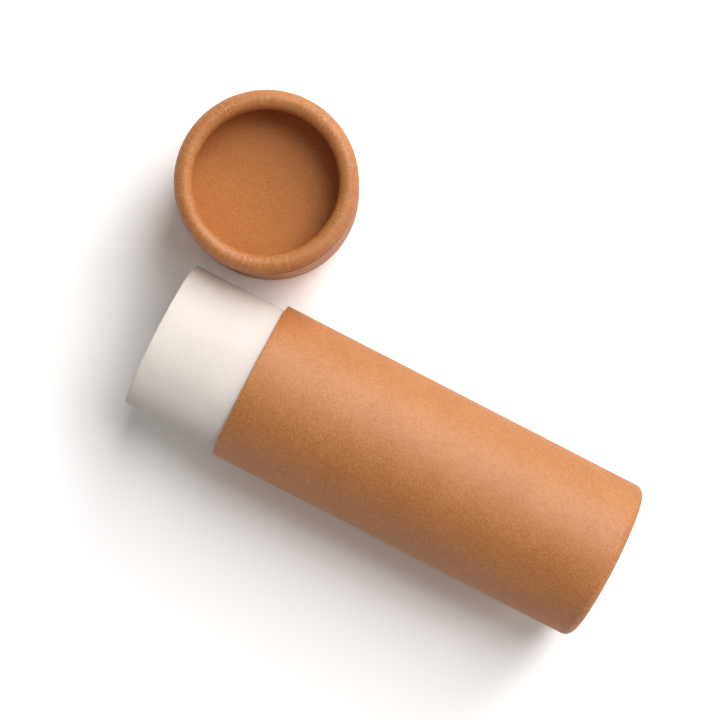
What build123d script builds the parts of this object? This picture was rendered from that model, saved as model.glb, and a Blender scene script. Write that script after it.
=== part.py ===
from build123d import *
import os

# A paper push-up tube with its cap taken off. The tube lies on its side along X,
# mouth towards -X, and the cap stands on its open end beside the neck.

# Outer tube: kraft board, cut square at the neck and rolled inward at the bottom
tube_diameter = 38.0
tube_wall = 1.3
tube_length = 91.5
tube_roll_radius = 2.05

# Inner tube: cream board, glued inside the outer tube and standing out of it as the neck
neck_length = 23.0
neck_wall = 1.3
mouth_bevel = 0.35

# Pusher: a board disc on a short wound ring, both a sliding fit in the inner tube
push_clearance = 0.15
push_disc_thickness = 2.0
push_ring_height = 6.0
push_ring_wall = 1.2
push_edge_bevel = 0.3

# Cap: a kraft shell with a rolled top rim, a disc deep inside the rim and a cream liner under it
cap_clearance = 0.3
cap_liner_wall = 1.0
cap_wall = 1.6
cap_head_room = 3.0
cap_disc_thickness = 1.5
cap_recess_depth = 12.45
cap_roll_radius = 2.1
cap_roll_inset = 0.25
cap_crease_angle = 25
cap_shoulder_length = 0.5
cap_liner_setback = 0.4

# Rolled rims turn half round, so that the board lies back beside its own wall
roll_turn = 180

# Glue lines and cut edges
glue_gap = 0.05
cut_edge_bevel = 0.2

# How the cap stands beside the tube
cap_gap = 2.8
cap_setback = 6.7

# Radii that follow from the walls and the fits
tube_radius = tube_diameter / 2
neck_radius = tube_radius - tube_wall - glue_gap
bore_radius = neck_radius - neck_wall
push_radius = bore_radius - push_clearance
socket_radius = neck_radius + cap_clearance
liner_radius = socket_radius + cap_liner_wall
cap_radius = liner_radius + glue_gap + cap_wall

# Lengths along the tube, from the mouth
total_length = neck_length + tube_length
roll_start = total_length - 2 * tube_roll_radius
inner_tube_end = roll_start - glue_gap
push_foot = roll_start - glue_gap
push_ring_top = push_foot - push_ring_height
push_face = push_ring_top - push_disc_thickness

# Heights in the cap, from its open end
liner_top = neck_length + cap_head_room
cap_disc_top = liner_top + glue_gap + cap_disc_thickness
cap_height = cap_disc_top + cap_recess_depth

# The origin is on the floor, in the middle of the area that the tube and cap cover
reach_past_mouth = max(0, cap_radius - cap_setback)
reach_to_bottom = max(total_length, cap_setback + cap_radius)
mouth_x = (reach_past_mouth - reach_to_bottom) / 2
axis_spacing = neck_radius + cap_gap + cap_radius
tube_y = (tube_radius - axis_spacing - cap_radius) / 2
cap_x = mouth_x + cap_setback
cap_y = tube_y + axis_spacing

# Section planes: local x runs along each axis, local y is the radius
tube_mouth = (mouth_x, tube_y, tube_radius)
tube_section = Plane(origin=tube_mouth, x_dir=(1, 0, 0), z_dir=(0, -1, 0))
tube_axis = Axis(tube_mouth, (1, 0, 0))
cap_foot = (cap_x, cap_y, 0)
cap_section = Plane(origin=cap_foot, x_dir=(0, 0, 1), z_dir=(0, 1, 0))
cap_axis = Axis(cap_foot, (0, 0, 1))


# A straight wall drawn as a rectangle between two places on the axis and two radii
def wall_section(start, end, inner, outer):
    with Locations(((start + end) / 2, (inner + outer) / 2)):
        Rectangle(end - start, outer - inner)


# Outer tube: the wall rolls in flush at the bottom, round outside and creased to a slit inside
with BuildPart() as outer_tube:
    with BuildSketch(tube_section) as outer_section:
        with BuildLine():
            roll_x = total_length - tube_roll_radius
            roll_y = tube_radius - tube_roll_radius
            slit_half_width = tube_roll_radius - tube_wall
            roll = CenterArc((roll_x, roll_y), tube_roll_radius, 90, -roll_turn)
            Polyline(
                roll @ 1,
                (roll_start, roll_y - tube_roll_radius),
                (roll_start, roll_y - slit_half_width),
                (roll_x, roll_y - slit_half_width),
                (roll_x + slit_half_width, roll_y),
                (roll_x, roll_y + slit_half_width),
                (neck_length, roll_y + slit_half_width),
                (neck_length, tube_radius),
                roll @ 0,
            )
        make_face()
        chamfer(outer_section.vertices().group_by(Axis.X)[0], length=cut_edge_bevel)
    revolve(axis=tube_axis)

# Inner tube: one straight tube from the mouth down to the roll
with BuildPart() as inner_tube:
    with BuildSketch(tube_section) as inner_section:
        wall_section(0, inner_tube_end, bore_radius, neck_radius)
        chamfer(inner_section.vertices().group_by(Axis.X)[0], length=mouth_bevel)
    revolve(axis=tube_axis)

# Push disc: closes the bore and carries what the tube holds
with BuildPart() as push_disc:
    with BuildSketch(tube_section) as push_section:
        wall_section(push_face, push_ring_top, 0, push_radius)
        rim_corners = push_section.vertices().group_by(Axis.Y)[-1]
        chamfer(rim_corners.sort_by(Axis.X)[0], length=push_edge_bevel)
    revolve(axis=tube_axis)

# Push ring: keeps the disc square in the bore and stands on the roll
with BuildPart() as push_ring:
    with BuildSketch(tube_section) as ring_section:
        wall_section(push_ring_top, push_foot, push_radius - push_ring_wall, push_radius)
        chamfer(ring_section.vertices().group_by(Axis.X)[-1], length=push_edge_bevel)
    revolve(axis=tube_axis)

# Cap shell: the wall ends in a low sloping shoulder, a crease and the rolled rim above it
with BuildPart() as cap_shell:
    with BuildSketch(cap_section) as shell_section:
        with BuildLine():
            rim_x = cap_height - cap_roll_radius
            rim_y = cap_radius - cap_roll_inset - cap_roll_radius
            slit_half_width = cap_roll_radius - cap_wall
            rim_start = 90 + cap_crease_angle
            rim = CenterArc((rim_x, rim_y), cap_roll_radius, rim_start, -roll_turn - cap_crease_angle)
            shoulder_x = (rim @ 0).X - cap_shoulder_length
            Polyline(
                rim @ 1,
                (rim_x - cap_roll_radius, rim_y - cap_roll_radius),
                (rim_x - cap_roll_radius, rim_y - slit_half_width),
                (rim_x, rim_y - slit_half_width),
                (rim_x + slit_half_width, rim_y),
                (rim_x, rim_y + slit_half_width),
                (shoulder_x, cap_radius - cap_wall),
                (0, cap_radius - cap_wall),
                (0, cap_radius),
                (shoulder_x, cap_radius),
                rim @ 0,
            )
        make_face()
        chamfer(shell_section.vertices().group_by(Axis.X)[0], length=cut_edge_bevel)
    revolve(axis=cap_axis)

# Cap disc: glued on top of the liner, so that the rim stands well above it
with BuildPart() as cap_disc:
    with BuildSketch(cap_section):
        wall_section(liner_top + glue_gap, cap_disc_top, 0, cap_radius - cap_wall - glue_gap)
    revolve(axis=cap_axis)

# Cap liner: holds the disc up and slides over the neck
with BuildPart() as cap_liner:
    with BuildSketch(cap_section) as liner_section:
        wall_section(cap_liner_setback, liner_top, socket_radius, liner_radius)
        chamfer(liner_section.vertices().group_by(Axis.X)[0], length=cut_edge_bevel)
    revolve(axis=cap_axis)

outer_tube.part.label = "outer_tube"
inner_tube.part.label = "inner_tube"
push_disc.part.label = "push_disc"
push_ring.part.label = "push_ring"
cap_shell.part.label = "cap_shell"
cap_disc.part.label = "cap_disc"
cap_liner.part.label = "cap_liner"

os.makedirs("parts", exist_ok=True)
export_step(outer_tube.part, "parts/outer_tube.step")
export_step(inner_tube.part, "parts/inner_tube.step")
export_step(push_disc.part, "parts/push_disc.step")
export_step(push_ring.part, "parts/push_ring.step")
export_step(cap_shell.part, "parts/cap_shell.step")
export_step(cap_disc.part, "parts/cap_disc.step")
export_step(cap_liner.part, "parts/cap_liner.step")
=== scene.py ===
import math

import bpy
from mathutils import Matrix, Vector, noise


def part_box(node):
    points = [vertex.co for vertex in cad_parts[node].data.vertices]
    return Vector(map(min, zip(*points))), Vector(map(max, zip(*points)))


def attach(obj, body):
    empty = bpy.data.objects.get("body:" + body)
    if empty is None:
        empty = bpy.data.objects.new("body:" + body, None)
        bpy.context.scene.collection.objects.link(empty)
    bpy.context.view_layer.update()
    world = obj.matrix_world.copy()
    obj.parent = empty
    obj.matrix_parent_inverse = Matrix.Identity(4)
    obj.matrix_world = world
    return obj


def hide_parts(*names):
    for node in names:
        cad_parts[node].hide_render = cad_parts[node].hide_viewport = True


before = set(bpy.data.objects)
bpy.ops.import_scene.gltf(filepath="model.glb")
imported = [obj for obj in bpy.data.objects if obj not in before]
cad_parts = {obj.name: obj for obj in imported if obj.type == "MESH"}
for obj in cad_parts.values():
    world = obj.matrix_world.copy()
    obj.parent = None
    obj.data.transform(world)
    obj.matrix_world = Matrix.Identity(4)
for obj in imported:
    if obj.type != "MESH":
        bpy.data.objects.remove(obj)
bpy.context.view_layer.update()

# A paper push-up tube lying on its side, with its cap taken off and stood beside the neck.
# Lengths are in metres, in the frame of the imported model.

mm = 0.001
weldDistance = 0.003 * mm
smoothAngle = math.radians(40)


def cornersOf(node):
    low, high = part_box(node)
    return Vector(low), Vector(high)


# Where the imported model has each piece
outerLow, outerHigh = cornersOf("outer_tube")
innerLow, innerHigh = cornersOf("inner_tube")
discLow, discHigh = cornersOf("push_disc")
ringLow, ringHigh = cornersOf("push_ring")
shellLow, shellHigh = cornersOf("cap_shell")
lidLow, lidHigh = cornersOf("cap_disc")
linerLow, linerHigh = cornersOf("cap_liner")

# Both axes start at a foot, run along, and have their outlines drawn on one side
mouth = Vector((innerLow.x, (innerLow.y + innerHigh.y) / 2, (innerLow.z + innerHigh.z) / 2))
capFoot = Vector(((shellLow.x + shellHigh.x) / 2, (shellLow.y + shellHigh.y) / 2, shellLow.z))
tubeAxis = {"foot": mouth, "along": Vector((1, 0, 0)), "out": Vector((0, 0, -1))}
capAxis = {"foot": capFoot, "along": Vector((0, 0, 1)), "out": Vector((0, 1, 0))}
capPlace = tuple(round(v, 5) for v in capFoot)
print("frame read: tube along X at y", round(mouth.y, 5), "and cap at", capPlace)


# Outlines

# Points of a straight run, without its last one
def straightRun(start, end, stepLength):
    steps = max(1, round(math.dist(start, end) / stepLength))
    return [tuple(s + (e - s) * i / steps for s, e in zip(start, end)) for i in range(steps)]


# Points of a round turn; 90 degrees is outwards and 0 is along the axis
def roundTurn(centre, radius, fromDegrees, toDegrees, steps):
    points = []
    for i in range(steps + 1):
        angle = math.radians(fromDegrees + (toDegrees - fromDegrees) * i / steps)
        points.append((centre[0] + radius * math.cos(angle), centre[1] + radius * math.sin(angle)))
    return points


# A corner eased over by a small curve
def easedCorner(before, corner, after, ease, steps=4):
    points = []
    start = [c + (b - c) * ease / math.dist(before, corner) for b, c in zip(before, corner)]
    end = [c + (a - c) * ease / math.dist(after, corner) for a, c in zip(after, corner)]
    for i in range(steps + 1):
        t = i / steps
        near, middle, far = (1 - t) ** 2, 2 * t * (1 - t), t ** 2
        points.append(tuple(near * s + middle * c + far * e for s, c, e in zip(start, corner, end)))
    return points


# Draws an outline of (along, out) points as a chain and spins it once round its axis
def turnOutline(name, outline, axis, stepsRound):
    foot, along, out = axis["foot"], axis["along"], axis["out"]
    bpy.ops.object.select_all(action="DESELECT")
    start = foot + along * outline[0][0] + out * outline[0][1]
    bpy.ops.mesh.primitive_plane_add(size=mm, location=start)
    piece = bpy.context.object
    piece.name = name
    piece.data.name = name
    bpy.ops.object.transform_apply(location=True, rotation=True, scale=True)
    bpy.ops.object.mode_set(mode="EDIT")
    bpy.ops.mesh.select_mode(type="VERT")
    bpy.ops.mesh.select_all(action="SELECT")
    bpy.ops.mesh.merge(type="CENTER")
    for (fromAlong, fromOut), (toAlong, toOut) in zip(outline, outline[1:]):
        move = along * (toAlong - fromAlong) + out * (toOut - fromOut)
        bpy.ops.mesh.extrude_region_move(TRANSFORM_OT_translate={"value": move})
    bpy.ops.mesh.select_all(action="SELECT")
    bpy.ops.mesh.spin(steps=stepsRound, angle=math.tau, center=foot, axis=along)
    bpy.ops.mesh.select_all(action="SELECT")
    bpy.ops.mesh.remove_doubles(threshold=weldDistance)
    bpy.ops.mesh.normals_make_consistent(inside=False)
    bpy.ops.object.mode_set(mode="OBJECT")
    bpy.ops.object.shade_smooth_by_angle(angle=smoothAngle)
    print("turned", name, "with", len(piece.data.polygons), "faces")
    return piece


# Hand-made unevenness

# Lets every point sink in along its normal by what depthAt says for its place
def sinkPoints(piece, depthAt):
    normals = [vertex.normal.copy() for vertex in piece.data.vertices]
    for vertex, normal in zip(piece.data.vertices, normals):
        vertex.co -= normal * depthAt(vertex.co)


# Paper board is never quite true: its surface sinks in by slow waves, which each seed shifts
waveShift = (0.37, 0.11, -0.23)


def sinkWaves(piece, depth, size, seed):
    shift = Vector([seed * part for part in waveShift])

    def depthAt(place):
        return depth * max(0.0, 0.5 + 0.5 * noise.noise(place / size + shift))

    sinkPoints(piece, depthAt)


# Pleats that rolling leaves across a rim: they run out over the rim and vary round it
pleats = {
    "fadeIn": 1.2 * mm,
    "fineness": 2.6,
    "leanSize": 2.5 * mm,
    "level": 0.45,
    "coarseShare": 0.7,
    "fineShare": 0.4,
    "leanShare": 0.2,
}


def pressPleats(piece, axis, firstAlong, depth, countRound, seed):
    foot, along = axis["foot"], axis["along"]
    turns = countRound / math.tau

    def depthAt(place):
        distance = (place - foot).dot(along)
        if distance < firstAlong:
            return 0.0
        spoke = (place - foot - along * distance).normalized()
        fadeIn = min(1.0, (distance - firstAlong) / pleats["fadeIn"])
        coarse = pleats["coarseShare"] * noise.noise(spoke * turns + along * seed)
        fine = pleats["fineShare"] * noise.noise(spoke * pleats["fineness"] * turns - along * seed)
        lean = pleats["leanShare"] * noise.noise(place / pleats["leanSize"])
        return depth * fadeIn * max(0.0, pleats["level"] + coarse + fine + lean)

    sinkPoints(piece, depthAt)


# Shared shader groups

number = "NodeSocketFloat"
arrow = "NodeSocketVector"


def startGroup(name, inputs, outputs):
    group = bpy.data.node_groups.new(name, "ShaderNodeTree")
    for label, kind in inputs.items():
        group.interface.new_socket(name=label, in_out="INPUT", socket_type=kind)
    for label, kind in outputs.items():
        group.interface.new_socket(name=label, in_out="OUTPUT", socket_type=kind)
    return group, group.nodes.new("NodeGroupInput").outputs, group.nodes.new("NodeGroupOutput").inputs


# Sets a socket to a value, or links another socket to it
def feed(tree, socket, value):
    if isinstance(value, bpy.types.NodeSocket):
        tree.links.new(value, socket)
    else:
        socket.default_value = value


def calc(tree, operation, *values, clamp=False):
    node = tree.nodes.new("ShaderNodeMath")
    node.operation = operation
    node.use_clamp = clamp
    for socket, value in zip(node.inputs, values):
        feed(tree, socket, value)
    return node.outputs["Value"]


def vectorCalc(tree, operation, *values):
    node = tree.nodes.new("ShaderNodeVectorMath")
    node.operation = operation
    for socket, value in zip(node.inputs, values):
        feed(tree, socket, value)
    return node.outputs["Value" if operation == "LENGTH" else "Vector"]


def noiseValue(tree, vector, scale, detail=2.0, roughness=0.5, distortion=0.0):
    node = tree.nodes.new("ShaderNodeTexNoise")
    feed(tree, node.inputs["Vector"], vector)
    feed(tree, node.inputs["Scale"], scale)
    feed(tree, node.inputs["Detail"], detail)
    feed(tree, node.inputs["Roughness"], roughness)
    feed(tree, node.inputs["Distortion"], distortion)
    return node.outputs["Fac"]


# Maps a value from one span to 0..1
def ramp(tree, value, low, high):
    node = tree.nodes.new("ShaderNodeMapRange")
    node.interpolation_type = "SMOOTHSTEP"
    for label, setting in (("Value", value), ("From Min", low), ("From Max", high)):
        feed(tree, node.inputs[label], setting)
    return node.outputs["Result"]


# Pulp fibres: thin curling threads where two noises cross their middle value, and the felt under them
fibreShape = {
    "layerShifts": ((0.0, 0.0, 0.0), (0.31, 0.17, 0.53)),
    "thread": {"detail": 1.0, "distortion": 0.8},
    "gapScale": 0.6,
    "gap": {"detail": 1.0},
    "gapFrom": 0.48,
    "gapTo": 0.6,
    "feltScale": 2.2,
    "felt": {"detail": 3.0, "roughness": 0.65, "distortion": 0.4},
}


def makeFibreGroup():
    group, inside, result = startGroup(
        "Pulp Fibres",
        {"Vector": arrow, "Scale": number, "Width": number},
        {"Threads": number, "Felt": number},
    )
    layers = []
    gapScale = calc(group, "MULTIPLY", inside["Scale"], fibreShape["gapScale"])
    feltScale = calc(group, "MULTIPLY", inside["Scale"], fibreShape["feltScale"])
    for shift in fibreShape["layerShifts"]:
        moved = vectorCalc(group, "ADD", inside["Vector"], shift)
        field = noiseValue(group, moved, inside["Scale"], **fibreShape["thread"])
        off = calc(group, "ABSOLUTE", calc(group, "SUBTRACT", field, 0.5))
        thread = calc(group, "SUBTRACT", 1.0, ramp(group, off, 0.0, inside["Width"]))
        gaps = noiseValue(group, moved, gapScale, **fibreShape["gap"])
        broken = ramp(group, gaps, fibreShape["gapFrom"], fibreShape["gapTo"])
        layers.append(calc(group, "MULTIPLY", thread, broken))
    feed(group, result["Threads"], calc(group, "MAXIMUM", *layers))
    feed(group, result["Felt"], noiseValue(group, inside["Vector"], feltScale, **fibreShape["felt"]))
    return group


# Cloudy formation: pulp lies thicker and thinner over a few millimetres
cloudShape = {
    "broad": {"roughness": 0.55, "distortion": 0.3},
    "closeScale": 6.5,
    "close": {"detail": 3.0, "roughness": 0.6, "distortion": 0.5},
}


def makeCloudGroup():
    group, inside, result = startGroup(
        "Board Clouds",
        {"Vector": arrow, "Scale": number},
        {"Broad": number, "Close": number},
    )
    place = inside["Vector"]
    closeScale = calc(group, "MULTIPLY", inside["Scale"], cloudShape["closeScale"])
    feed(group, result["Broad"], noiseValue(group, place, inside["Scale"], **cloudShape["broad"]))
    feed(group, result["Close"], noiseValue(group, place, closeScale, **cloudShape["close"]))
    return group


# Specks: a few of the cells of a fine Voronoi pattern hold a small spot
def makeSpeckGroup():
    group, inside, result = startGroup(
        "Board Specks",
        {"Vector": arrow, "Scale": number, "Share": number, "Size": number},
        {"Specks": number},
    )
    cells = group.nodes.new("ShaderNodeTexVoronoi")
    feed(group, cells.inputs["Vector"], inside["Vector"])
    feed(group, cells.inputs["Scale"], inside["Scale"])
    split = group.nodes.new("ShaderNodeSeparateColor")
    feed(group, split.inputs["Color"], cells.outputs["Color"])
    chosen = calc(group, "LESS_THAN", split.outputs["Red"], inside["Share"])
    spot = calc(group, "SUBTRACT", 1.0, ramp(group, cells.outputs["Distance"], 0.0, inside["Size"]))
    feed(group, result["Specks"], calc(group, "MULTIPLY", chosen, spot))
    return group


# Streaks that change round the axis, and only slowly along a spoke
streakShape = {
    "drift": (6.0, 6.0, 6.0),
    "line": {"detail": 3.0, "roughness": 0.6, "distortion": 0.2},
}


def makeStreakGroup():
    group, inside, result = startGroup(
        "Spoke Streaks",
        {"Vector": arrow, "Across Axis": arrow, "Count": number},
        {"Streaks": number},
    )
    flat = vectorCalc(group, "MULTIPLY", inside["Vector"], inside["Across Axis"])
    spoke = vectorCalc(group, "NORMALIZE", flat)
    drift = vectorCalc(group, "MULTIPLY", inside["Vector"], streakShape["drift"])
    place = vectorCalc(group, "ADD", spoke, drift)
    feed(group, result["Streaks"], noiseValue(group, place, inside["Count"], **streakShape["line"]))
    return group


# Plies: thin rings by distance from the axis, as a cut through wound board shows
plyShape = {"wanderScale": 260.0, "wander": 0.12 * mm, "lineFrom": 0.02, "lineTo": 0.2}


def makePlyGroup():
    group, inside, result = startGroup(
        "Board Plies",
        {"Vector": arrow, "Across Axis": arrow, "Plies per Metre": number},
        {"Plies": number},
    )
    flat = vectorCalc(group, "MULTIPLY", inside["Vector"], inside["Across Axis"])
    radius = vectorCalc(group, "LENGTH", flat)
    wavering = noiseValue(group, inside["Vector"], plyShape["wanderScale"])
    wander = calc(group, "MULTIPLY", wavering, plyShape["wander"])
    place = calc(group, "MULTIPLY", calc(group, "ADD", radius, wander), inside["Plies per Metre"])
    tooth = calc(group, "PINGPONG", place, 0.5)
    feed(group, result["Plies"], ramp(group, tooth, plyShape["lineFrom"], plyShape["lineTo"]))
    return group


fibreGroup = makeFibreGroup()
cloudGroup = makeCloudGroup()
speckGroup = makeSpeckGroup()
streakGroup = makeStreakGroup()
plyGroup = makePlyGroup()


def placeGroup(tree, group, **values):
    node = tree.nodes.new("ShaderNodeGroup")
    node.node_tree = group
    for label, value in values.items():
        feed(tree, node.inputs[label.replace("_", " ")], value)
    return node.outputs


# Finishes

# Looks of the two boards: colours, gloss, and how much of each pattern shows
kraftLook = {
    "colour": (0.485, 0.127, 0.007),
    "paleColour": (0.57, 0.262, 0.090),
    "roughness": 0.50,
    "specular": 0.68,
    "diffuseRoughness": 0.0,
    "broadTone": 0.08,
    "closeTone": 0.06,
    "feltTone": 0.10,
    "darkSpecks": 0.26,
    "paleClouds": 0.22,
    "paleFelt": 1.0,
    "paleThreads": 0.45,
    "paleSpecks": 0.28,
    "bump": 1.0,
}

# Painted light: the disc in the cap gets a lighter colour than the tube's board, standing in for the
# brighter light that falls on its upward face
discLookWithPaintedLight = {**kraftLook, "colour": (0.59, 0.152, 0.008), "specular": 0.35, "feltTone": 0.45}

creamLook = {
    "colour": (0.865, 0.81, 0.755),
    "paleColour": (0.89, 0.86, 0.83),
    "roughness": 0.60,
    "specular": 0.25,
    "diffuseRoughness": 1.0,
    "broadTone": 0.035,
    "closeTone": 0.03,
    "feltTone": 0.10,
    "darkSpecks": 0.05,
    "paleClouds": 0.1,
    "paleFelt": 0.3,
    "paleThreads": 0.2,
    "paleSpecks": 0.2,
    "bump": 0.65,
}

# The grain that all boards share: how close and wide its patterns are, and how far they stand up
grain = {
    "clouds": 110.0,
    "fibres": 1750.0,
    "threadWidth": 0.06,
    "darkCells": 1500.0,
    "darkShare": 0.09,
    "paleCells": 2200.0,
    "paleShare": 0.07,
    "speckSize": 0.36,
    "paleShift": (0.5, 0.2, 0.7),
    "feltFrom": 0.36,
    "feltTo": 0.70,
    "cloudLevel": 0.9,
    "threadRelief": 0.4,
    "cloudRelief": 0.8,
    "streaksRound": 34.0,
    "rollRoughness": 0.42,
    "streakRelief": 6.0,
    "plies": 3600.0,
    "plyRelief": 1.2,
    "relief": 0.05 * mm,
    "roughSpread": 0.2,
}


# The colour sockets of a Mix node go by number, because its other kinds share their names
def blendColours(tree, share, low, high):
    node = tree.nodes.new("ShaderNodeMix")
    node.data_type = "RGBA"
    feed(tree, node.inputs["Factor"], share)
    feed(tree, node.inputs[6], (*low, 1.0))
    feed(tree, node.inputs[7], (*high, 1.0))
    return node.outputs[2]


# Board of one look, centred on its axis; streaks and plies are added where the piece has them
def makeBoard(name, look, axis, streaks=0.0, plies=0.0):
    material = bpy.data.materials.new(name)
    material.use_nodes = True
    tree = material.node_tree
    shader = tree.nodes["Principled BSDF"]
    feed(tree, shader.inputs["Specular IOR Level"], look["specular"])
    feed(tree, shader.inputs["Diffuse Roughness"], look["diffuseRoughness"])

    place = tree.nodes.new("ShaderNodeTexCoord").outputs["Object"]
    centre = tree.nodes.new("ShaderNodeMapping")
    feed(tree, centre.inputs["Location"], -axis["foot"])
    feed(tree, centre.inputs["Vector"], place)
    spot = centre.outputs["Vector"]
    aside = vectorCalc(tree, "ADD", spot, grain["paleShift"])
    acrossAxis = tuple(1.0 - abs(v) for v in axis["along"])

    clouds = placeGroup(tree, cloudGroup, Vector=spot, Scale=grain["clouds"])
    fibres = placeGroup(tree, fibreGroup, Vector=spot, Scale=grain["fibres"], Width=grain["threadWidth"])
    cells, share, size = grain["darkCells"], grain["darkShare"], grain["speckSize"]
    dark = placeGroup(tree, speckGroup, Vector=spot, Scale=cells, Share=share, Size=size)
    cells, share = grain["paleCells"], grain["paleShare"]
    pale = placeGroup(tree, speckGroup, Vector=aside, Scale=cells, Share=share, Size=size)

    # Tone: thicker and thinner pulp, felt and dark specks
    tone = calc(tree, "MULTIPLY_ADD", dark["Specks"], -look["darkSpecks"], 1.0)
    for value, amount in (
        (clouds["Broad"], look["broadTone"]),
        (clouds["Close"], look["closeTone"]),
        (fibres["Felt"], look["feltTone"]),
    ):
        tone = calc(tree, "MULTIPLY_ADD", calc(tree, "SUBTRACT", value, 0.5), amount * 2, tone)

    # Straw-coloured fibres lie on top
    paleFelt = ramp(tree, fibres["Felt"], grain["feltFrom"], grain["feltTo"])
    straw = calc(tree, "MULTIPLY", paleFelt, look["paleFelt"])
    straw = calc(tree, "MULTIPLY_ADD", fibres["Threads"], look["paleThreads"], straw)
    straw = calc(tree, "MULTIPLY_ADD", pale["Specks"], look["paleSpecks"], straw)
    bothClouds = calc(tree, "ADD", clouds["Broad"], clouds["Close"])
    cloudy = calc(tree, "SUBTRACT", bothClouds, grain["cloudLevel"])
    straw = calc(tree, "MULTIPLY_ADD", cloudy, look["paleClouds"], straw, clamp=True)

    # Relief: felt, threads and clouds stand up; streaks and plies do too, and change the tone
    height = calc(tree, "MULTIPLY_ADD", fibres["Threads"], grain["threadRelief"], fibres["Felt"])
    height = calc(tree, "MULTIPLY_ADD", clouds["Close"], grain["cloudRelief"], height)
    roughness = look["roughness"]
    if streaks:
        roughness = grain["rollRoughness"]
        count = grain["streaksRound"]
        lines = placeGroup(tree, streakGroup, Vector=spot, Across_Axis=acrossAxis, Count=count)
        centred = calc(tree, "SUBTRACT", lines["Streaks"], 0.5)
        tone = calc(tree, "MULTIPLY_ADD", centred, streaks, tone)
        height = calc(tree, "MULTIPLY_ADD", centred, streaks * grain["streakRelief"], height)
    if plies:
        count = grain["plies"]
        rings = placeGroup(tree, plyGroup, Vector=spot, Across_Axis=acrossAxis, Plies_per_Metre=count)
        tone = calc(tree, "MULTIPLY_ADD", calc(tree, "SUBTRACT", rings["Plies"], 1.0), plies, tone)
        height = calc(tree, "MULTIPLY_ADD", rings["Plies"], grain["plyRelief"], height)

    # Looser felt is rougher
    loose = calc(tree, "SUBTRACT", fibres["Felt"], 0.5)
    matt = calc(tree, "MULTIPLY_ADD", loose, grain["roughSpread"], roughness)
    feed(tree, shader.inputs["Roughness"], matt)

    tint = tree.nodes.new("ShaderNodeHueSaturation")
    feed(tree, tint.inputs["Color"], blendColours(tree, straw, look["colour"], look["paleColour"]))
    feed(tree, tint.inputs["Value"], tone)
    feed(tree, shader.inputs["Base Color"], tint.outputs["Color"])
    relief = tree.nodes.new("ShaderNodeBump")
    feed(tree, relief.inputs["Strength"], look["bump"])
    feed(tree, relief.inputs["Distance"], grain["relief"])
    feed(tree, relief.inputs["Height"], height)
    feed(tree, shader.inputs["Normal"], relief.outputs["Normal"])
    return material


kraftTube = makeBoard("kraft board, tube", kraftLook, tubeAxis)
kraftTubeRoll = makeBoard("kraft board, tube roll", kraftLook, tubeAxis, streaks=0.4)
kraftTubeCut = makeBoard("kraft board, tube cut", kraftLook, tubeAxis, plies=0.35)
kraftCap = makeBoard("kraft board, cap", kraftLook, capAxis)
# The cap disc's board carries painted light: its colour is lighter to stand in for the brighter light on
# its face
kraftDisc = makeBoard("kraft board, cap disc", discLookWithPaintedLight, capAxis)
kraftCapRoll = makeBoard("kraft board, cap roll", kraftLook, capAxis, streaks=0.5)
kraftCapCut = makeBoard("kraft board, cap cut", kraftLook, capAxis, plies=0.35)
creamTube = makeBoard("cream board, tube", creamLook, tubeAxis)
creamTubeCut = makeBoard("cream board, tube cut", creamLook, tubeAxis, plies=0.1)
creamCap = makeBoard("cream board, cap", creamLook, capAxis)
creamCapCut = makeBoard("cream board, cap cut", creamLook, capAxis, plies=0.1)
print("finishes made")


# A cut face looks along the axis and lies near its place on it
cutFace = {"facing": 0.8, "reach": 0.15 * mm}


# Gives a piece its materials: plain, then roll past a place on the axis, then cut faces across the axis
def paint(piece, axis, plain, roll=None, rollFrom=None, cut=None, cutAt=()):
    foot, along = axis["foot"], axis["along"]
    piece.data.materials.append(plain)
    if roll:
        piece.data.materials.append(roll)
    if cut:
        piece.data.materials.append(cut)
    for face in piece.data.polygons:
        place = (face.center - foot).dot(along)
        facing = abs(face.normal.dot(along)) > cutFace["facing"]
        if facing and any(abs(place - at) < cutFace["reach"] for at in cutAt):
            face.material_index = len(piece.data.materials) - 1
        elif roll and place > rollFrom:
            face.material_index = 1


# Outer tube

outerTube = {
    "wall": 1.3 * mm,
    "rollRadius": 2.05 * mm,
    "rollSteps": 26,
    "cutEase": 0.22 * mm,
    "stepsRound": 320,
    "stepLength": 1.4 * mm,
    "waveDepth": 0.05 * mm,
    "waveSize": 22 * mm,
    "waveSeed": 3,
    "pleatDepth": 0.035 * mm,
    "pleatsRound": 110,
    "pleatSeed": 5,
}


def buildOuterTube():
    neckEnd = outerLow.x - mouth.x
    bottom = outerHigh.x - mouth.x
    radius = (outerHigh.z - outerLow.z) / 2
    rollRadius = outerTube["rollRadius"]
    rollAlong = bottom - rollRadius
    rollOut = radius - rollRadius
    slit = rollRadius - outerTube["wall"]
    tailEnd = bottom - 2 * rollRadius
    step = outerTube["stepLength"]
    outside = (neckEnd, radius)
    inside = (neckEnd, rollOut + slit)
    outline = easedCorner(inside, outside, (rollAlong, radius), outerTube["cutEase"])
    outline += straightRun(outline[-1], (rollAlong, radius), step)[1:]
    outline += roundTurn((rollAlong, rollOut), rollRadius, 90, -90, outerTube["rollSteps"])
    outline += [
        (tailEnd, rollOut - rollRadius),
        (tailEnd, rollOut - slit),
        (rollAlong, rollOut - slit),
        (rollAlong + slit, rollOut),
        (rollAlong, rollOut + slit),
    ]
    outline += easedCorner((rollAlong, rollOut + slit), inside, outside, outerTube["cutEase"])
    outline.append(outline[0])
    piece = turnOutline("outerTube", outline, tubeAxis, outerTube["stepsRound"])
    sinkWaves(piece, outerTube["waveDepth"], outerTube["waveSize"], outerTube["waveSeed"])
    depth, count, seed = outerTube["pleatDepth"], outerTube["pleatsRound"], outerTube["pleatSeed"]
    pressPleats(piece, tubeAxis, rollAlong, depth, count, seed)
    paint(piece, tubeAxis, kraftTube, kraftTubeRoll, rollAlong, kraftTubeCut, (neckEnd,))
    return piece


# Inner tube

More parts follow.
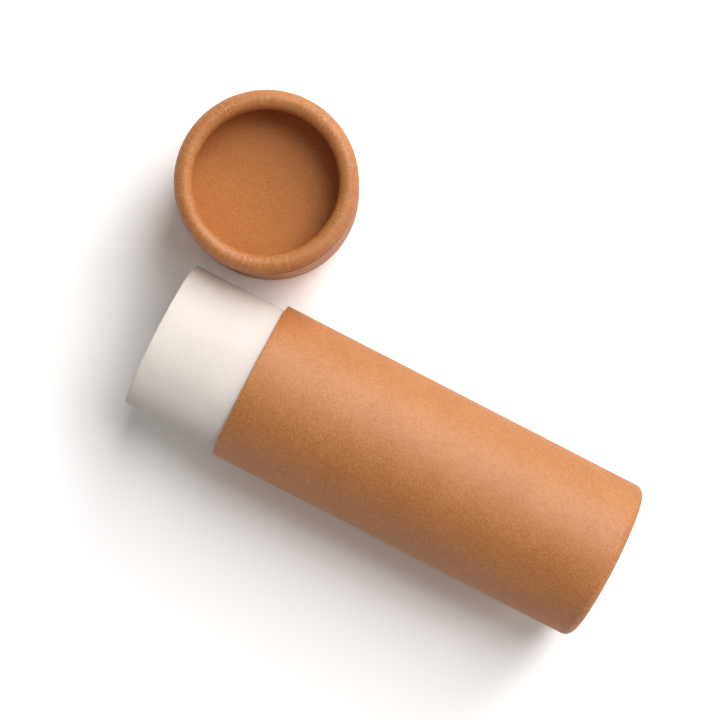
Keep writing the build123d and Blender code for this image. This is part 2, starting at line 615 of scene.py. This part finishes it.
innerTube = {
    "wall": 1.3 * mm,
    "mouthEase": 0.4 * mm,
    "stepsRound": 288,
    "stepLength": 1.4 * mm,
    "hiddenStepLength": 8.4 * mm,
    "waveDepth": 0.03 * mm,
    "waveSize": 15 * mm,
    "waveSeed": 8,
}


def buildInnerTube():
    length = innerHigh.x - innerLow.x
    radius = (innerHigh.z - innerLow.z) / 2
    bore = radius - innerTube["wall"]
    neck = outerLow.x - mouth.x
    ease = innerTube["mouthEase"]
    step = innerTube["stepLength"]
    outside = (0.0, radius)
    inside = (0.0, bore)
    outline = easedCorner(inside, outside, (length, radius), ease)
    outline += straightRun(outline[-1], (neck, radius), step)[1:]
    outline += [(neck, radius), (length, radius), (length, bore)]
    outline += straightRun((length, bore), (neck, bore), innerTube["hiddenStepLength"])[1:]
    outline += straightRun((neck, bore), (ease, bore), step)
    outline += easedCorner((length, bore), inside, outside, ease)
    outline.append(outline[0])
    piece = turnOutline("innerTube", outline, tubeAxis, innerTube["stepsRound"])
    sinkWaves(piece, innerTube["waveDepth"], innerTube["waveSize"], innerTube["waveSeed"])
    paint(piece, tubeAxis, creamTube, cut=creamTubeCut, cutAt=(0.0,))
    return piece


# Pusher

pusher = {
    "ringWall": 1.2 * mm,
    "edgeEase": 0.3 * mm,
    "stepsRound": 192,
    "stepLength": 1.0 * mm,
    "waveDepth": 0.04 * mm,
    "waveSize": 9 * mm,
    "discSeed": 2,
    "ringSeed": 6,
}


def buildPushDisc():
    face = discLow.x - mouth.x
    back = discHigh.x - mouth.x
    radius = (discHigh.z - discLow.z) / 2
    ease = pusher["edgeEase"]
    outline = straightRun((face, 0.0), (face, radius - ease), pusher["stepLength"])
    outline += easedCorner((face, 0.0), (face, radius), (back, radius), ease)
    outline += [(back, radius), (back, 0.0)]
    piece = turnOutline("pushDisc", outline, tubeAxis, pusher["stepsRound"])
    sinkWaves(piece, pusher["waveDepth"], pusher["waveSize"], pusher["discSeed"])
    paint(piece, tubeAxis, creamTube)
    return piece


def buildPushRing():
    top = ringLow.x - mouth.x
    foot = ringHigh.x - mouth.x
    radius = (ringHigh.z - ringLow.z) / 2
    bore = radius - pusher["ringWall"]
    ease = pusher["edgeEase"]
    outline = straightRun((top, radius), (foot - ease, radius), pusher["stepLength"])
    outline += easedCorner((top, radius), (foot, radius), (foot, bore), ease)
    outline += easedCorner((foot, radius), (foot, bore), (top, bore), ease)
    outline += straightRun((foot - ease, bore), (top, bore), pusher["stepLength"])[1:]
    outline += [(top, bore), (top, radius)]
    piece = turnOutline("pushRing", outline, tubeAxis, pusher["stepsRound"])
    sinkWaves(piece, pusher["waveDepth"], pusher["waveSize"], pusher["ringSeed"])
    paint(piece, tubeAxis, kraftTube, cut=kraftTubeCut, cutAt=(foot,))
    return piece


# Cap

cap = {
    "wall": 1.6 * mm,
    "rollRadius": 2.1 * mm,
    "rollInset": 0.25 * mm,
    "rollSteps": 34,
    "creaseDegrees": 38,
    "shoulder": 0.5 * mm,
    "shoulderEase": 0.3 * mm,
    "cutEase": 0.22 * mm,
    "stepsRound": 384,
    "stepLength": 1.4 * mm,
    "waveDepth": 0.05 * mm,
    "waveSize": 16 * mm,
    "waveSeed": 4,
    "pleatDepth": 0.045 * mm,
    "pleatsRound": 130,
    "pleatSeed": 7,
}


def buildCapShell():
    height = shellHigh.z - shellLow.z
    radius = (shellHigh.x - shellLow.x) / 2
    bore = radius - cap["wall"]
    rollRadius = cap["rollRadius"]
    rimAlong = height - rollRadius
    rimOut = radius - cap["rollInset"] - rollRadius
    slit = rollRadius - cap["wall"]
    rimStart = 90 + cap["creaseDegrees"]
    rim = roundTurn((rimAlong, rimOut), rollRadius, rimStart, -90, cap["rollSteps"])
    shoulder = rim[0][0] - cap["shoulder"]
    ease = cap["shoulderEase"]
    tailEnd = rimAlong - rollRadius
    outside = (0.0, radius)
    inside = (0.0, bore)
    outline = easedCorner(inside, outside, (shoulder, radius), cap["cutEase"])
    outline += straightRun(outline[-1], (shoulder - ease, radius), cap["stepLength"])[1:]
    outline += easedCorner((0.0, radius), (shoulder, radius), rim[0], ease)
    outline += rim
    outline += [
        (tailEnd, rimOut - rollRadius),
        (tailEnd, rimOut - slit),
        (rimAlong, rimOut - slit),
        (rimAlong + slit, rimOut),
        (rimAlong, rimOut + slit),
        (shoulder, bore),
    ]
    outline += easedCorner((shoulder, bore), inside, outside, cap["cutEase"])
    outline.append(outline[0])
    piece = turnOutline("capShell", outline, capAxis, cap["stepsRound"])
    sinkWaves(piece, cap["waveDepth"], cap["waveSize"], cap["waveSeed"])
    depth, count, seed = cap["pleatDepth"], cap["pleatsRound"], cap["pleatSeed"]
    pressPleats(piece, capAxis, shoulder, depth, count, seed)
    paint(piece, capAxis, kraftCap, kraftCapRoll, shoulder, kraftCapCut, (0.0,))
    return piece


# The disc that closes the cap; a cutter leaves a small mark in its middle
capDisc = {
    "markRadius": 0.35 * mm,
    "markDepth": 0.18 * mm,
    "stepsRound": 192,
    "stepLength": 0.8 * mm,
    "waveDepth": 0.06 * mm,
    "waveSize": 9 * mm,
    "waveSeed": 9,
}


def buildCapDisc():
    low = lidLow.z - capFoot.z
    top = lidHigh.z - capFoot.z
    radius = (lidHigh.x - lidLow.x) / 2
    outline = [(top - capDisc["markDepth"], 0.0)]
    outline += straightRun((top, capDisc["markRadius"]), (top, radius), capDisc["stepLength"])
    outline += [(top, radius), (low, radius), (low, 0.0)]
    piece = turnOutline("capDisc", outline, capAxis, capDisc["stepsRound"])
    sinkWaves(piece, capDisc["waveDepth"], capDisc["waveSize"], capDisc["waveSeed"])
    paint(piece, capAxis, kraftDisc)
    return piece


# The liner that the neck slides into
capLiner = {
    "wall": 1.0 * mm,
    "cutEase": 0.2 * mm,
    "stepsRound": 192,
    "stepLength": 2.0 * mm,
    "hiddenStepLength": 4.0 * mm,
    "waveDepth": 0.03 * mm,
    "waveSize": 12 * mm,
    "waveSeed": 1,
}


def buildCapLiner():
    low = linerLow.z - capFoot.z
    top = linerHigh.z - capFoot.z
    radius = (linerHigh.x - linerLow.x) / 2
    bore = radius - capLiner["wall"]
    ease = capLiner["cutEase"]
    outline = easedCorner((low, bore), (low, radius), (top, radius), ease)
    outline += straightRun(outline[-1], (top, radius), capLiner["hiddenStepLength"])[1:]
    outline += [(top, radius), (top, bore)]
    outline += straightRun((top, bore), (low + ease, bore), capLiner["stepLength"])[1:]
    outline += easedCorner((top, bore), (low, bore), (low, radius), ease)
    outline.append(outline[0])
    piece = turnOutline("capLiner", outline, capAxis, capLiner["stepsRound"])
    sinkWaves(piece, capLiner["waveDepth"], capLiner["waveSize"], capLiner["waveSeed"])
    paint(piece, capAxis, creamCap, cut=creamCapCut, cutAt=(low,))
    return piece


# Each piece stands for its CAD solid and rides on its body; the table lists its slot name too
for build, node, body, slotName in (
    (buildOuterTube, "outer_tube", "tube", "kraft_board"),
    (buildInnerTube, "inner_tube", "tube", "cream_board"),
    (buildPushDisc, "push_disc", "pusher", "cream_board"),
    (buildPushRing, "push_ring", "pusher", "kraft_board"),
    (buildCapShell, "cap_shell", "cap", "kraft_board"),
    (buildCapDisc, "cap_disc", "cap", "kraft_board"),
    (buildCapLiner, "cap_liner", "cap", "cream_board"),
):
    made = build()
    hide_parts(node)
    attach(made, body)
print("pieces built and placed on their bodies")


# Floor, light and camera

# The camera sees the floor in floorSeen, running out to white; it gives light back as floorColour
studio = {
    "floorSize": 6.0,
    "floorColour": (0.86, 0.86, 0.86),
    "floorSeen": (1.22, 1.22, 1.22),
    "whiteFrom": 0.35,
    "whiteTo": 0.9,
    "skyColour": (1.0, 0.95, 0.91),
    "skyStrength": 0.25,
    "backdropTo": 0.2,
    "ceilingFrom": 0.5,
    "lampDistance": 3.0,
}

# Softboxes: diameter in metres, tilt from straight up, heading round from +X, and watts
softboxes = {
    "keySoftbox": {"size": 1.8, "tilt": 29.0, "heading": 71.0, "power": 49.0},
    "sideSoftbox": {"size": 2.0, "tilt": 60.0, "heading": 83.0, "power": 52.0},
    "endSoftbox": {"size": 1.6, "tilt": 58.0, "heading": 16.0, "power": 13.0},
}


# Rays that see the white backdrop: the camera's own, and those by gloss or through glass
def backdropRays(tree):
    path = tree.nodes.new("ShaderNodeLightPath").outputs
    seen = calc(tree, "MAXIMUM", path["Is Camera Ray"], path["Is Glossy Ray"])
    return calc(tree, "MAXIMUM", seen, path["Is Transmission Ray"])


def blendShaders(tree, share, low, high):
    node = tree.nodes.new("ShaderNodeMixShader")
    feed(tree, node.inputs[0], share)
    feed(tree, node.inputs[1], low)
    feed(tree, node.inputs[2], high)
    return node.outputs["Shader"]


# The floor keeps the shadow near the object and runs out into plain white further off
def buildFloor():
    bpy.ops.object.select_all(action="DESELECT")
    bpy.ops.mesh.primitive_plane_add(size=studio["floorSize"], location=(0, 0, 0))
    floor = bpy.context.object
    floor.name = "studioFloor"
    material = bpy.data.materials.new("floor paper")
    material.use_nodes = True
    tree = material.node_tree
    tree.nodes.clear()
    plain = tree.nodes.new("ShaderNodeBsdfDiffuse")
    feed(tree, plain.inputs["Color"], (*studio["floorColour"], 1.0))
    seen = tree.nodes.new("ShaderNodeBsdfDiffuse")
    feed(tree, seen.inputs["Color"], (*studio["floorSeen"], 1.0))
    white = tree.nodes.new("ShaderNodeEmission")
    distance = vectorCalc(tree, "LENGTH", tree.nodes.new("ShaderNodeTexCoord").outputs["Object"])
    away = ramp(tree, distance, studio["whiteFrom"], studio["whiteTo"])
    byGloss = tree.nodes.new("ShaderNodeLightPath").outputs["Is Glossy Ray"]
    near = blendShaders(tree, byGloss, seen.outputs["BSDF"], plain.outputs["BSDF"])
    shown = blendShaders(tree, away, near, white.outputs["Emission"])
    surface = blendShaders(tree, backdropRays(tree), plain.outputs["BSDF"], shown)
    output = tree.nodes.new("ShaderNodeOutputMaterial")
    feed(tree, output.inputs["Surface"], surface)
    floor.data.materials.append(material)


# A dim ceiling over a backdrop that is white near the horizon
def buildSky():
    world = bpy.data.worlds.new("studio")
    bpy.context.scene.world = world
    world.use_nodes = True
    tree = world.node_tree
    tree.nodes.clear()
    dim = tree.nodes.new("ShaderNodeBackground")
    feed(tree, dim.inputs["Color"], (*studio["skyColour"], 1.0))
    feed(tree, dim.inputs["Strength"], studio["skyStrength"])
    white = tree.nodes.new("ShaderNodeBackground")
    feed(tree, white.inputs["Color"], (1.0, 1.0, 1.0, 1.0))
    direction = tree.nodes.new("ShaderNodeSeparateXYZ")
    feed(tree, direction.inputs[0], tree.nodes.new("ShaderNodeTexCoord").outputs["Generated"])
    high = ramp(tree, direction.outputs["Z"], studio["backdropTo"], studio["ceilingFrom"])
    share = calc(tree, "MULTIPLY", backdropRays(tree), calc(tree, "SUBTRACT", 1.0, high))
    surface = blendShaders(tree, share, dim.outputs["Background"], white.outputs["Background"])
    output = tree.nodes.new("ShaderNodeOutputWorld")
    feed(tree, output.inputs["Surface"], surface)


def buildSoftboxes():
    for name, box in softboxes.items():
        tilt = math.radians(box["tilt"])
        heading = math.radians(box["heading"])
        across = math.sin(tilt)
        away = Vector((across * math.cos(heading), across * math.sin(heading), math.cos(tilt)))
        bpy.ops.object.light_add(type="AREA", location=away * studio["lampDistance"])
        lamp = bpy.context.object
        lamp.name = name
        lamp.rotation_euler = away.to_track_quat("Z", "Y").to_euler()
        lamp.data.shape = "DISK"
        lamp.data.size = box["size"]
        lamp.data.energy = box["power"]


# The camera looks straight down beside the tube, with a long lens
view = {
    "height": 0.608,
    "pastMouth": 43.2 * mm,
    "besideAxis": 15.47 * mm,
    "turn": 27.2,
    "lens": 128.9,
    "sensorWidth": 36.0,
}


def buildCamera():
    data = bpy.data.cameras.new("camera")
    data.lens = view["lens"]
    data.sensor_width = view["sensorWidth"]
    camera = bpy.data.objects.new("camera", data)
    bpy.context.scene.collection.objects.link(camera)
    camera.location = (mouth.x + view["pastMouth"], mouth.y + view["besideAxis"], view["height"])
    camera.rotation_euler = (0.0, 0.0, math.radians(view["turn"]))
    bpy.context.scene.camera = camera


buildFloor()
buildSky()
buildSoftboxes()
buildCamera()
bpy.context.scene.view_settings.view_transform = "Standard"
print("floor, light and camera set")
